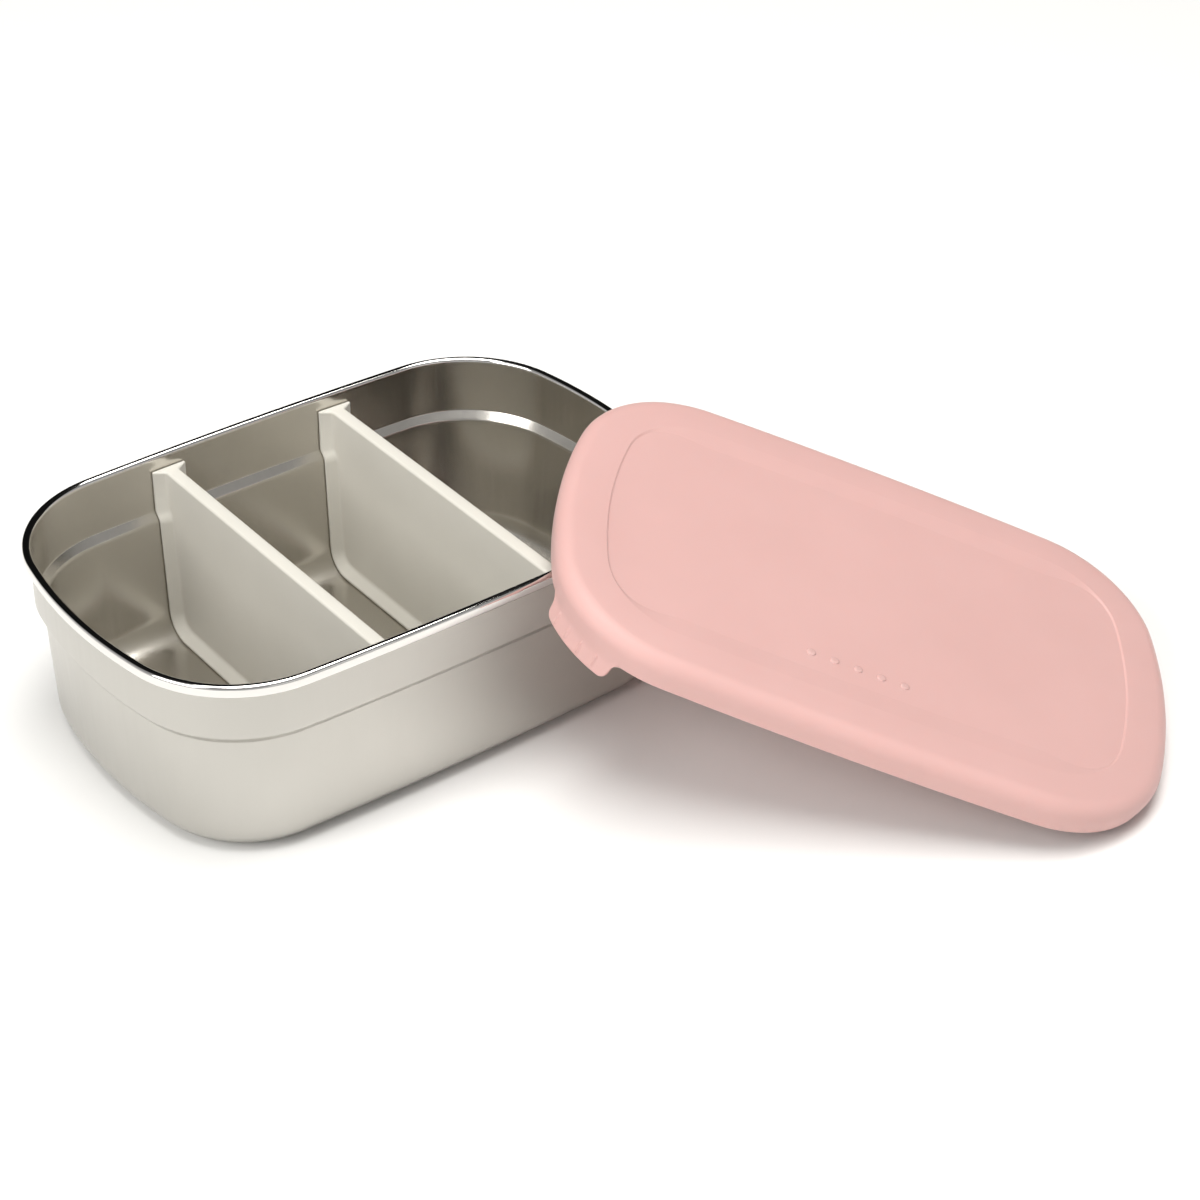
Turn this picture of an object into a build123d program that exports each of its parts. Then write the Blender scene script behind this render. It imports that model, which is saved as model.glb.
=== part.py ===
from build123d import *

import math
import os

import numpy as np

# A steel bento lunch box with two lift-out dividers and a soft lid that leans on its rim.
# Millimetres, +Z up. The origin is the centre of the container's flat base. +X runs along
# the container's long side, and the dividers run along Y.
#
# Every plan outline is the same family of curves: eight arcs that share their centres with
# the outer line of the rim. "inset" is the distance inside that line, negative outside it.

# ---------------------------------------------------------------- container
rim_length = 185.0        # over the rolled rim, along X
rim_width = 121.0         # over the rolled rim, along Y
box_height = 61.0         # base to the top of the rim
corner_radius = 37.0      # plan corner, at the outer line of the rim
end_curve_radius = 155.0  # the short ends bow out a little
side_curve_radius = 1400.0  # the long sides are nearly straight

sheet = 0.6               # drawn steel sheet
curl_depth = 2.6          # rolled rim, across
curl_height = 4.0         # rolled rim, top to bottom
curl_slit = 0.3           # the free edge of the curl stops this far from the wall

shoulder_drop = 18.4      # rim top to the upper edge of the shoulder
shoulder_fall = 2.6       # height of the sloping shoulder
shoulder_jog = 2.2        # how far the wall steps in over the shoulder
shoulder_blend = 1.6      # blend radius above and below it
wall_draft = 1.2          # the lower wall leans in this much from shoulder to base
base_radius = 9.0         # outside radius between wall and base
floor_lap = 2.0           # flat floor carried by the wall's own sweep

# ---------------------------------------------------------------- dividers
divider_spacing = 58.0    # between the two dividers, centre to centre
divider_drop = 4.6        # rim top down to the divider's top edge
web_thickness = 4.4
web_top_round = 1.2
flange_width = 11.0       # the foot that follows both walls and the floor
flange_root = 2.8         # foot thickness beside the web
flange_tip = 0.9          # foot thickness at its free edge
divider_gap = 0.25        # to the steel all round

# ---------------------------------------------------------------- lid
lid_top = 2.6             # thickness of the flat top
lid_margin = 2.4          # skirt outside the rim's outer line
skirt_depth = 10.2        # lid top to skirt edge
skirt_taper = 1.6         # the skirt leans in this much by its lower edge
lid_edge_radius = 4.6     # rounded top edge
skirt_edge_round = 0.9
bead_gap = 0.2            # lid groove to the rolled rim, all round
lip_gap = 0.3             # gripping lip to the container's wall
groove_blend = 0.5
rib_thickness = 1.8       # sealing rib inside the rim
rib_depth = 4.0
rib_gap = 0.4             # sealing rib to the inside of the wall
panel_inset = 12.2        # rim's outer line to the sunken panel on top
panel_sink = 0.4
tab_centre_angle = 225.0  # where the pull tab sits round the lid's corner
tab_width = 28.0          # along the corner
tab_reach = 5.8           # beyond the skirt's edge
tab_thickness = 2.0
tab_droop = 80.0          # degrees below the lid's own plane
tab_root_bite = 2.0       # how far the tongue starts inside the skirt
tab_corner_round = 2.4
tab_rib_count = 4
tab_rib_height = 0.5
tab_rib_width = 1.0
tab_rib_start = 0.6       # from the skirt's edge, along the tab
tab_rib_end = 4.6
dot_count = 5             # plain raised dots near one long edge of the lid
dot_radius = 1.5
dot_pitch = 7.0
dot_height = 0.4
dot_inset = 26.0          # rim's outer line to the row of dots
dot_centre_x = -2.7       # middle of the row, from the lid's middle
dot_back = 0.3            # how far a dot reaches into the lid

# How the lid leans: one end on the container's rim, the other on the table.
lean_yaw = -43.2          # degrees, direction of the lid's long axis in plan
lean_head_x = -50.3       # middle of the raised end, from the container's corner in plan
lean_head_y = 20.5
lean_pitch_start = 19.8   # first guesses, settled by settle_lid
lean_roll_start = 4.0
rest_gap = 0.25           # lid to rim, and lid to table
settle_stations = 720     # points round the skirt's edge
settle_rows = 5           # points across it
settle_rounds = 60        # small steps towards the resting pose
settle_step = 0.6         # share of the full step taken each time
settle_nudge = 0.05       # degrees or millimetres, to measure slopes

# ---------------------------------------------------------------- worked out
half_length = rim_length / 2
half_width = rim_width / 2
wall_inset = curl_depth - sheet
wall_top = box_height - curl_height / 2
shoulder_top = box_height - shoulder_drop
shoulder_low = shoulder_top - shoulder_fall
base_inset = wall_inset + shoulder_jog + wall_draft
floor_inset = base_inset + base_radius
divider_top = box_height - divider_drop
groove_depth = lid_top + curl_height + bead_gap


def corner_centre():
    """Centre of the plan corner arc, tangent inside both the end arc and the side arc."""
    end_x = half_length - end_curve_radius
    side_y = half_width - side_curve_radius
    to_end = end_curve_radius - corner_radius
    to_side = side_curve_radius - corner_radius
    span = math.hypot(end_x, side_y)
    along = (to_end**2 - to_side**2 + span**2) / (2 * span)
    across = math.sqrt(to_end**2 - along**2)
    ux, uy = -end_x / span, side_y / span
    return end_x + along * ux - across * uy, along * uy + across * ux


CORNER_X, CORNER_Y = corner_centre()
END_X = half_length - end_curve_radius
SIDE_Y = half_width - side_curve_radius
END_ANGLE = math.degrees(math.atan2(CORNER_Y, CORNER_X - END_X))
SIDE_ANGLE = math.degrees(math.atan2(CORNER_Y - SIDE_Y, CORNER_X))


def outline(inset):
    """Closed plan wire at an inset, starting at the middle of the +X end."""
    end_r = end_curve_radius - inset
    side_r = side_curve_radius - inset
    corner_r = corner_radius - inset
    corner_turn = SIDE_ANGLE - END_ANGLE
    side_turn = 180 - 2 * SIDE_ANGLE
    return Wire([
        CenterArc((END_X, 0), end_r, 0, END_ANGLE),
        CenterArc((CORNER_X, CORNER_Y), corner_r, END_ANGLE, corner_turn),
        CenterArc((0, SIDE_Y), side_r, SIDE_ANGLE, side_turn),
        CenterArc((-CORNER_X, CORNER_Y), corner_r, 180 - SIDE_ANGLE, corner_turn),
        CenterArc((-END_X, 0), end_r, 180 - END_ANGLE, 2 * END_ANGLE),
        CenterArc((-CORNER_X, -CORNER_Y), corner_r, 180 + END_ANGLE, corner_turn),
        CenterArc((0, -SIDE_Y), side_r, 180 + SIDE_ANGLE, side_turn),
        CenterArc((CORNER_X, -CORNER_Y), corner_r, 360 - SIDE_ANGLE, corner_turn),
        CenterArc((END_X, 0), end_r, 360 - END_ANGLE, END_ANGLE),
    ])


def plate(inset, low, high):
    """Flat plate with the plan outline at an inset."""
    return Pos(0, 0, low) * extrude(Face(outline(inset)), high - low)


def swept(section):
    """Carry a section, drawn as (inset, height), once round the rim's outer line."""
    plane = Plane(origin=(half_length, 0, 0), x_dir=(-1, 0, 0), z_dir=(0, 1, 0))
    return sweep(plane * section, path=outline(0))


def inward(x, y, inset=0.0):
    """Distance of plan points inside the outline at an inset, negative outside it."""
    x, y = np.abs(x), np.abs(y)
    corner = corner_radius - np.hypot(x - CORNER_X, y - CORNER_Y)
    end = end_curve_radius - np.hypot(x - END_X, y)
    side = side_curve_radius - np.hypot(x, y - SIDE_Y)
    angle = np.degrees(np.arctan2(y - CORNER_Y, x - CORNER_X))
    in_corner = (angle > END_ANGLE) & (angle < SIDE_ANGLE)
    return np.where(in_corner, corner, np.minimum(end, side)) - inset


def crossing(point, run, other, other_run):
    """Where two lines in the section plane cross."""
    turn = run[0] * other_run[1] - run[1] * other_run[0]
    step = ((other[0] - point[0]) * other_run[1] - (other[1] - point[1]) * other_run[0]) / turn
    return point[0] + run[0] * step, point[1] + run[1] * step


def wall_layer(gap, top, floor_end):
    """Surface a gap inside the outside of the wall, from a height down to the base.

    Each corner is (inset, height, blend radius), and the last is on the floor.
    """
    lean = wall_draft * shoulder_low / (shoulder_low - base_radius)
    upper = (wall_inset, shoulder_top)
    lower = (wall_inset + shoulder_jog, shoulder_low)
    foot = (wall_inset + shoulder_jog + lean, 0)
    lines = []
    for start, end in (((wall_inset, top), upper), (upper, lower), (lower, foot), (foot, (floor_end, 0))):
        run = (end[0] - start[0], end[1] - start[1])
        length = math.hypot(*run)
        moved = (start[0] - run[1] / length * gap, start[1] + run[0] / length * gap)
        lines.append((moved, run))
    corners = [crossing(*lines[i], *lines[i + 1]) for i in range(3)]
    blends = [max(shoulder_blend - gap, 0), shoulder_blend + gap, max(base_radius - gap, 0)]
    return [
        (wall_inset + gap, top, 0),
        *((*corner, blend) for corner, blend in zip(corners, blends)),
        (floor_end, gap, 0),
    ]


def section(corners):
    """Face from corners of (inset, height, blend radius)."""
    points = [corner[:2] for corner in corners]
    return make_face(FilletPolyline(*points, radius=[corner[2] for corner in corners], close=True))


# ---------------------------------------------------------------- container
def curl_section():
    """Rolled rim: a flattened loop of sheet, open by a slit beside the wall."""
    loop = SlotOverall(curl_height, curl_depth, rotation=90)
    bore = SlotOverall(curl_height - 2 * sheet, curl_depth - 2 * sheet, rotation=90)
    slit_height = curl_depth
    slit = Pos(wall_inset - curl_slit / 2, box_height - curl_height) * Rectangle(curl_slit, slit_height)
    return Pos(curl_depth / 2, wall_top) * (loop - bore) - slit


def make_container():
    """One drawn steel tub: rolled rim, shoulder, drafted wall, rounded base and flat floor."""
    floor_end = floor_inset + floor_lap
    wall = section(wall_layer(0, wall_top, floor_end) + wall_layer(sheet, wall_top, floor_end)[::-1])
    return swept(wall + curl_section()) + plate(floor_end - floor_lap / 2, 0, sheet)


# ---------------------------------------------------------------- dividers
def divider_side(thickness, reach):
    """Half of the divider seen along X, as (inset, height): all of it or only its foot."""
    outer = wall_layer(sheet + divider_gap, divider_top, reach)
    if thickness:
        return section(outer + wall_layer(sheet + divider_gap + thickness, divider_top, reach)[::-1])
    return section(outer + [(reach, divider_top, 0)])


def make_divider(at_x):
    """One soft divider: a web with a foot that tapers away on both sides of it."""
    foot_x = abs(at_x) + flange_width / 2
    reach = half_width - (side_curve_radius - math.sqrt(side_curve_radius**2 - foot_x**2))
    facing = Plane(origin=(0, -reach, 0), x_dir=(0, 1, 0), z_dir=(1, 0, 0))
    web = extrude(facing * divider_side(0, reach), web_thickness / 2, both=True)
    root = facing * divider_side(flange_root, reach)
    tip = facing * divider_side(flange_tip, reach)
    root_x = web_thickness / 2
    wing = loft([Pos(root_x, 0, 0) * root, Pos(flange_width / 2, 0, 0) * tip], ruled=True)
    half = web + wing + mirror(wing, Plane.YZ)
    whole = half + mirror(half, Plane.XZ)
    top_edges = [
        edge for edge in whole.edges().filter_by(Axis.Y)
        if abs(edge.center().Z - divider_top) < 1e-6 and edge.length > half_width
    ]
    return Pos(at_x, 0, 0) * fillet(top_edges, web_top_round)


# ---------------------------------------------------------------- lid
def lid_section():
    """Lid edge: rounded top edge, skirt, gripping lip, groove for the rim and sealing rib."""
    lip = wall_inset - lip_gap
    rib_outer = curl_depth + rib_gap
    rib_inner = rib_outer + rib_thickness
    lap = panel_inset + floor_lap
    return section([
        (lap, -panel_sink, 0),
        (panel_inset + panel_sink, -panel_sink, panel_sink / 2),
        (panel_inset, 0, panel_sink / 2),
        (-lid_margin, 0, lid_edge_radius),
        (-lid_margin + skirt_taper, -skirt_depth, skirt_edge_round),
        (lip, -skirt_depth, skirt_edge_round),
        (lip, -groove_depth, groove_blend),
        (-bead_gap, -groove_depth, groove_blend),
        (-bead_gap, -lid_top, groove_blend),
        (rib_outer, -lid_top, groove_blend),
        (rib_outer, -lid_top - rib_depth, groove_blend),
        (rib_inner, -lid_top - rib_depth, groove_blend),
        (rib_inner, -lid_top, groove_blend),
        (lap, -lid_top, 0),
    ])


def make_tab():
    """Pull tab: a drooping tongue round one corner of the skirt, with plain grip ribs."""
    skirt_radius = corner_radius + lid_margin - skirt_taper
    turn = math.degrees(tab_width / skirt_radius)
    droop = math.radians(tab_droop)
    along = (math.cos(droop), -math.sin(droop))
    under = (-math.sin(droop), -math.cos(droop))
    root = (skirt_radius - tab_root_bite * along[0], -skirt_depth - tab_root_bite * along[1])

    def spot(out, down):
        return root[0] + along[0] * out + under[0] * down, root[1] + along[1] * out + under[1] * down

    def slice_at(angle, corners, sweep_angle):
        radians = math.radians(angle)
        facing = Plane(
            origin=(-CORNER_X, -CORNER_Y, 0),
            x_dir=(math.cos(radians), math.sin(radians), 0),
            z_dir=(math.sin(radians), -math.cos(radians), 0),
        )
        face = facing * make_face(Polyline(*corners, close=True))
        return revolve(face, Axis((-CORNER_X, -CORNER_Y, 0), (0, 0, 1)), sweep_angle)

    reach = tab_root_bite + tab_reach
    first = tab_centre_angle - turn / 2
    corners = [spot(0, 0), spot(reach, 0), spot(reach, tab_thickness), spot(0, tab_thickness)]
    tongue = slice_at(first, corners, turn)
    tip_edges = tongue.edges().filter_by(GeomType.LINE).sort_by(Axis.Z)[:2]
    tongue = fillet(tip_edges, tab_corner_round)
    rib_turn = math.degrees(tab_rib_width / skirt_radius)
    rib_low, rib_high = tab_root_bite + tab_rib_start, tab_root_bite + tab_rib_end
    for index in range(tab_rib_count):
        share = (index + 1) / (tab_rib_count + 1)
        corners = [
            spot(rib_low, -tab_rib_height), spot(rib_high, -tab_rib_height),
            spot(rib_high, tab_rib_height), spot(rib_low, tab_rib_height),
        ]
        tongue += slice_at(first + turn * share - rib_turn / 2, corners, rib_turn)
    return tongue


def make_lid():
    """The lid in its own frame: top face at z = 0, skirt down, pull tab at the -X -Y corner."""
    lid = swept(lid_section()) + plate(panel_inset + floor_lap / 2, -lid_top, -panel_sink)
    lid += make_tab()
    dot = extrude(Circle(dot_radius), dot_height + dot_back)
    dot = fillet(dot.edges().sort_by(Axis.Z)[-1], dot_height / 2)
    for index in range(dot_count):
        x = dot_centre_x + (index - (dot_count - 1) / 2) * dot_pitch
        lid += Pos(x, -(half_width - dot_inset), -panel_sink - dot_back) * dot
    return lid


def skirt_points():
    """Points over the skirt's lower edge, from its outer line to the lip, in the lid's frame."""
    lip = wall_inset - lip_gap
    turns = list(np.linspace(0, 1, settle_stations, endpoint=False))
    rows = [
        [(point.X, point.Y, -skirt_depth) for point in outline(inset).positions(turns)]
        for inset in np.linspace(-lid_margin + skirt_taper, lip, settle_rows)
    ]
    return np.concatenate(rows)


def turned(yaw, pitch, roll):
    """Rotation matrix: roll about X, then pitch about Y, then yaw about Z, in degrees."""
    cy, sy = math.cos(math.radians(yaw)), math.sin(math.radians(yaw))
    cp, sp = math.cos(math.radians(pitch)), math.sin(math.radians(pitch))
    cr, sr = math.cos(math.radians(roll)), math.sin(math.radians(roll))
    about_z = np.array([[cy, -sy, 0], [sy, cy, 0], [0, 0, 1]])
    about_y = np.array([[cp, 0, sp], [0, 1, 0], [-sp, 0, cp]])
    about_x = np.array([[1, 0, 0], [0, cr, -sr], [0, sr, cr]])
    return about_z @ about_y @ about_x


def settle_lid():
    """Pitch, roll and height at which the lid rests on two places of the rim and on the table."""
    points = skirt_points()
    head = np.array([half_length + lean_head_x, -half_width + lean_head_y])
    bead = curl_depth / 2

    def place(pitch, roll, height):
        turn = turned(lean_yaw, pitch, roll)
        head_arm = turn @ np.array([-half_length - lid_margin, 0, 0])
        origin = np.array([head[0] - head_arm[0], head[1] - head_arm[1], height])
        return turn, origin

    def gaps(state):
        turn, origin = place(*state)
        world = points @ turn.T + origin
        off_bead = np.abs(inward(world[:, 0], world[:, 1], bead))
        above = world[:, 2] - box_height
        over = off_bead < bead
        curve = np.sqrt(np.maximum(bead**2 - off_bead**2, 0)) - bead
        clear = np.where(over, above - curve, np.inf)
        by_side = world[:, 0] < CORNER_X
        return np.array([
            clear[by_side].min() - rest_gap, clear[~by_side].min() - rest_gap, world[:, 2].min() - rest_gap,
        ])

    drop = (half_length + lid_margin) * math.sin(math.radians(lean_pitch_start))
    state = np.array([lean_pitch_start, lean_roll_start, box_height + skirt_depth - drop])
    for _ in range(settle_rounds):
        now = gaps(state)
        nudged = [gaps(state + nudge) - now for nudge in settle_nudge * np.eye(len(state))]
        slopes = np.stack(nudged, axis=1) / settle_nudge
        state = state - settle_step * np.linalg.solve(slopes, now)
    print("lid settled at pitch, roll, height", state.round(3), "gaps left", gaps(state).round(4))
    return state, place(*state)[1]


def lean(lid):
    """The lid as it rests: turned about its own top centre, then moved there."""
    (pitch, roll, _), origin = settle_lid()
    turn = Rot(0, 0, lean_yaw) * Rot(0, pitch, 0) * Rot(roll, 0, 0)
    return Pos(*origin) * turn * lid


if __name__ == "__main__":
    os.makedirs("parts", exist_ok=True)
    for name, piece in {
        "container": make_container(),
        "divider_left": make_divider(-divider_spacing / 2),
        "divider_right": make_divider(divider_spacing / 2),
        "lid": lean(make_lid()),
    }.items():
        print(name, piece.volume, piece.is_valid, len(piece.solids()))
        export_step(piece, f"parts/{name}.step")
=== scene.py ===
"""Looks of a steel bento lunch box: drawn tub, two soft dividers and a soft lid leaning on the rim.

Sizes are in millimetres until a mesh is made. The origin is the centre of the tub's flat base, +X runs
along the tub's long side and +Z is up. Every plan outline is the same family of arcs, and "inset" is the
distance inside the outer line of the rim.
"""

from __future__ import annotations

import logging
import math
from dataclasses import dataclass, field
from enum import Enum

import bmesh
import bpy
import numpy as np
from mathutils import Matrix, Vector

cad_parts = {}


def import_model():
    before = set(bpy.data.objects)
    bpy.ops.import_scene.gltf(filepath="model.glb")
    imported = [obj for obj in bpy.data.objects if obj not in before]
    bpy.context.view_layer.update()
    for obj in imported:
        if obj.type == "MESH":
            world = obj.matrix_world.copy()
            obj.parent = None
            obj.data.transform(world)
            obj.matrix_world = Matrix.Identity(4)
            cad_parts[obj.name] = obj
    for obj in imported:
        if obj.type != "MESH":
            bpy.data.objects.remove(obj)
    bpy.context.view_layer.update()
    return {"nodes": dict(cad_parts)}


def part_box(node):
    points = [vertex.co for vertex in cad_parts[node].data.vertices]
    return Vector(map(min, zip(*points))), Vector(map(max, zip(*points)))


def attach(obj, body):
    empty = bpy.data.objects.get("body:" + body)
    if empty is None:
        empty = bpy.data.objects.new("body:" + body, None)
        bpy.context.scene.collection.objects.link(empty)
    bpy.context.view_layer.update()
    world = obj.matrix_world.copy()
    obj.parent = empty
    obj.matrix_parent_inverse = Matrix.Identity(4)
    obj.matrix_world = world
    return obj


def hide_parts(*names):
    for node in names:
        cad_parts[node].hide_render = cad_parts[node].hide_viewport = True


LOG = logging.getLogger("lunch_box")
MM = 0.001
WELD_DISTANCE = 6e-8
TINY_AREA = 1e-12
HAIR = 1e-6
NOISE_ROUGHNESS = 0.55
NOISE_LOW, NOISE_HIGH = 0.3, 0.7


class Body(Enum):
    """The frame's bodies and, by the same names, its nodes."""

    TUB = "container"
    LEFT_DIVIDER = "divider_left"
    RIGHT_DIVIDER = "divider_right"
    LID = "lid"


class Slot(Enum):
    """The record's material slots."""

    STEEL = "steel"
    DIVIDER = "divider_silicone"
    LID = "lid_silicone"


# ------------------------------------------------------------------------------------------ outlines
@dataclass(frozen=True)
class Plan:
    """Plan outline shared by the rim, the walls and the lid: four corner arcs, two ends, two sides."""

    rim_length: float
    rim_width: float
    corner_radius: float = 37.0
    end_radius: float = 155.0
    side_radius: float = 1400.0
    end_steps: int = 14
    corner_steps: int = 46
    side_steps: int = 18

    @property
    def end_x(self) -> float:
        """Centre of the +X end arc."""
        return self.rim_length / 2 - self.end_radius

    @property
    def side_y(self) -> float:
        """Centre of the +Y side arc."""
        return self.rim_width / 2 - self.side_radius

    @property
    def corner(self) -> tuple[float, float]:
        """Centre of the corner arc, which touches the end arc and the side arc from inside.

        Returns:
            The centre, where circles of (end radius - corner radius) and (side radius - corner radius)
            about the two other centres cross.
        """
        to_end = self.end_radius - self.corner_radius
        to_side = self.side_radius - self.corner_radius
        span = math.hypot(self.end_x, self.side_y)
        along = (to_end**2 - to_side**2 + span**2) / (2 * span)
        across = math.sqrt(to_end**2 - along**2)
        ux, uy = -self.end_x / span, self.side_y / span
        return self.end_x + along * ux - across * uy, along * uy + across * ux

    @property
    def end_turn(self) -> float:
        """Facing angle where the end arc meets the corner arc."""
        x, y = self.corner
        return math.atan2(y, x - self.end_x)

    @property
    def side_turn(self) -> float:
        """Facing angle where the corner arc meets the side arc."""
        x, y = self.corner
        return math.atan2(y - self.side_y, x)

    def turns(self) -> np.ndarray:
        """Spreads stations evenly over each arc, once round the outline.

        Returns:
            The stations' facing angles, rising from 0.
        """
        quarter = np.concatenate([
            np.linspace(0, self.end_turn, self.end_steps, endpoint=False),
            np.linspace(self.end_turn, self.side_turn, self.corner_steps, endpoint=False),
            np.linspace(self.side_turn, math.pi / 2, self.side_steps + 1),
        ])
        half = np.concatenate([quarter[:-1], math.pi - quarter[::-1][:-1]])
        return np.concatenate([half, half + math.pi])

    def place(self, turn: np.ndarray, inset: np.ndarray) -> np.ndarray:
        """Plan points that face a direction: arc centre plus (arc radius - inset) along the direction.

        Args:
            turn: Facing angles in radians.
            inset: Distances inside the outer line, of a shape that broadcasts with turn.

        Returns:
            The points, with x and y on the last axis.
        """
        turn, inset = np.broadcast_arrays(turn, inset)
        across, up = np.cos(turn), np.sin(turn)
        folded = np.arctan2(np.abs(up), np.abs(across))
        arcs = [folded < self.end_turn, folded < self.side_turn]
        corner_x, corner_y = self.corner
        centre_x = np.select(arcs, [self.end_x, corner_x], 0.0)
        centre_y = np.select(arcs, [0.0, corner_y], self.side_y)
        radius = np.select(arcs, [self.end_radius, self.corner_radius], self.side_radius) - inset
        x = np.sign(across) * (centre_x + radius * np.abs(across))
        y = np.sign(up) * (centre_y + radius * np.abs(up))
        return np.stack([x, y], axis=-1)


def crossing(point: np.ndarray, run: np.ndarray, other: np.ndarray, other_run: np.ndarray) -> np.ndarray:
    """Where two lines in the section plane cross.

    Args:
        point: A point on the first line.
        run: Direction of the first line.
        other: A point on the second line.
        other_run: Direction of the second line.

    Returns:
        The crossing, with any leading axes of the inputs kept.
    """
    apart = other - point
    turn = run[..., 0] * other_run[..., 1] - run[..., 1] * other_run[..., 0]
    step = (apart[..., 0] * other_run[..., 1] - apart[..., 1] * other_run[..., 0]) / turn
    return point + run * step[..., None]


def rounded(corners: np.ndarray, radii: np.ndarray, steps: int = 8) -> np.ndarray:
    """Open line through corners, each inner corner replaced by an arc that touches both its runs.

    The arc starts radius * tan(half the turn) before the corner, and its points are the start turned
    about the arc's centre by even shares of the turn.

    Args:
        corners: Corner points, shape (..., n, 2).
        radii: One radius for each inner corner, shape (..., n - 2).
        steps: Spans in each arc.

    Returns:
        Points, shape (..., 2 + (n - 2) * (steps + 1), 2).
    """
    before = corners[..., 1:-1, :] - corners[..., :-2, :]
    after = corners[..., 2:, :] - corners[..., 1:-1, :]
    before = before / np.linalg.norm(before, axis=-1, keepdims=True)
    after = after / np.linalg.norm(after, axis=-1, keepdims=True)
    turn = np.arctan2(
        before[..., 0] * after[..., 1] - before[..., 1] * after[..., 0], (before * after).sum(-1)
    )
    reach = np.abs(radii * np.tan(turn / 2))
    start = corners[..., 1:-1, :] - before * reach[..., None]
    side = np.sign(turn)
    normal = np.stack([-before[..., 1], before[..., 0]], axis=-1) * side[..., None]
    centre = start + normal * radii[..., None]
    share = turn[..., None] * np.linspace(0, 1, steps + 1)
    arm = (start - centre)[..., None, :]
    spun = np.stack([
        arm[..., 0] * np.cos(share) - arm[..., 1] * np.sin(share),
        arm[..., 0] * np.sin(share) + arm[..., 1] * np.cos(share),
    ], axis=-1)
    arcs = centre[..., None, :] + spun
    arcs = arcs.reshape(*arcs.shape[:-3], -1, 2)
    return np.concatenate([corners[..., :1, :], arcs, corners[..., -1:, :]], axis=-2)


def refined(line: np.ndarray, longest: float) -> np.ndarray:
    """A line with extra points on its long spans, so that no span is longer than a limit.

    Args:
        line: Points, shape (n, 2).
        longest: The limit.

    Returns:
        The refined line.
    """
    lengths = np.linalg.norm(np.diff(line, axis=0), axis=1)
    along = np.concatenate([[0.0], np.cumsum(lengths)])
    counts = np.maximum(np.ceil(lengths / longest), 1).astype(int)
    starts = np.repeat(np.arange(len(lengths)), counts)
    index = np.arange(len(starts)) - np.repeat(np.cumsum(counts) - counts, counts)
    spots = along[starts] + lengths[starts] * index / counts[starts]
    spots = np.concatenate([spots, along[-1:]])
    return np.stack([np.interp(spots, along, line[:, axis]) for axis in range(2)], axis=-1)


# ------------------------------------------------------------------------------------------- meshes
@dataclass
class Skin:
    """Grids of points gathered into one closed mesh, with a material index for each face."""

    name: str
    points: list[np.ndarray] = field(default_factory=list)
    faces: list[np.ndarray] = field(default_factory=list)
    dressings: list[np.ndarray] = field(default_factory=list)
    count: int = 0

    def add(self, grid: np.ndarray, wrap: bool = False, dressing: np.ndarray | int = 0) -> None:
        """Adds a grid of points as quads: each face joins (row, column) to its next row and next column.

        Args:
            grid: Points in millimetres, shape (rows, columns, 3).
            wrap: Whether the last row joins the first.
            dressing: Material index, one for all or one for each column of faces.
        """
        rows, columns = grid.shape[:2]
        index = np.arange(rows * columns).reshape(rows, columns) + self.count
        if wrap:
            index = np.vstack([index, index[:1]])
        quads = np.stack([index[:-1, :-1], index[1:, :-1], index[1:, 1:], index[:-1, 1:]], axis=-1)
        worn = np.broadcast_to(np.asarray(dressing), quads.shape[:2])
        self.points.append(grid.reshape(-1, 3))
        self.faces.append(quads.reshape(-1, 4))
        self.dressings.append(worn.reshape(-1))
        self.count += rows * columns

    def build(self, materials: list[bpy.types.Material], crease: float = 40.0) -> bpy.types.Object:
        """Makes the object: points to metres, seams and poles welded, normals turned outwards.

        Args:
            materials: The materials, in the order of the faces' indices.
            crease: Angle in degrees past which an edge is shaded sharp.

        Returns:
            The object, at the origin.
        """
        mesh = bpy.data.meshes.new(self.name)
        mesh.from_pydata(np.concatenate(self.points) * MM, [], np.concatenate(self.faces))
        for material in materials:
            mesh.materials.append(material)
        mesh.polygons.foreach_set("material_index", np.concatenate(self.dressings).astype(np.int32))
        work = bmesh.new()
        work.from_mesh(mesh)
        bmesh.ops.remove_doubles(work, verts=work.verts, dist=WELD_DISTANCE)
        bmesh.ops.recalc_face_normals(work, faces=work.faces)
        if work.calc_volume(signed=True) < 0:
            bmesh.ops.reverse_faces(work, faces=work.faces)
        open_edges = sum(1 for edge in work.edges if not edge.is_manifold)
        work.to_mesh(mesh)
        work.free()
        mesh.shade_smooth()
        mesh.set_sharp_from_angle(angle=math.radians(crease))
        piece = bpy.data.objects.new(self.name, mesh)
        bpy.context.scene.collection.objects.link(piece)
        LOG.info("%s: %d faces, %d open edges", self.name, len(mesh.polygons), open_edges)
        return piece


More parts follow.
